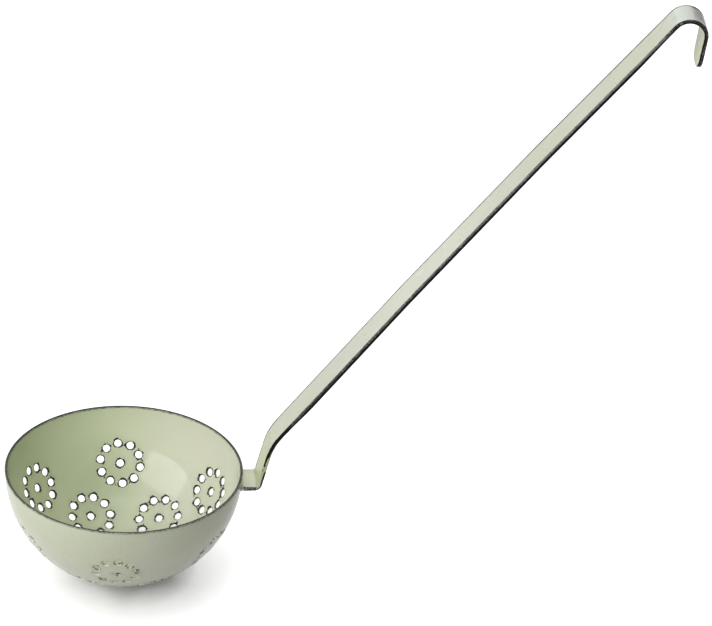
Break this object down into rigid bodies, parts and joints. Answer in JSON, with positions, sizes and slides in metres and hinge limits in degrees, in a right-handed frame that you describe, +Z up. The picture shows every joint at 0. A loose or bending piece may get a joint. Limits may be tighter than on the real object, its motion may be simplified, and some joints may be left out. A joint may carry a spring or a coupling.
{
  "type": "kitchen skimmer",
  "caption": "Enamelled straining ladle: half-round bowl pierced with drain holes in flower groups, on a long flat strap handle that ends in a hanging hook.",
  "frame": {"origin": "on the axis of the hanging hook's bend, at the middle of the strap's width", "axes": "+Z up, square to the level rim of the bowl; +X from the bowl's centre towards the handle; +Y along the hook's axis, across the strap"},
  "size_m": [0.3417, 0.1204, 0.3169],
  "materials": {
    "green_enamel": "glossy pale green vitreous enamel on sheet steel",
    "dark_enamel": "glossy black-green vitreous enamel on sheet steel"
  },
  "bodies": {
    "root": {"bowl": "green_enamel", "rim_edging": "dark_enamel", "handle_strap": "green_enamel", "strap_edging": "dark_enamel", "foot_weld": "green_enamel"}
  },
  "joints": []
}
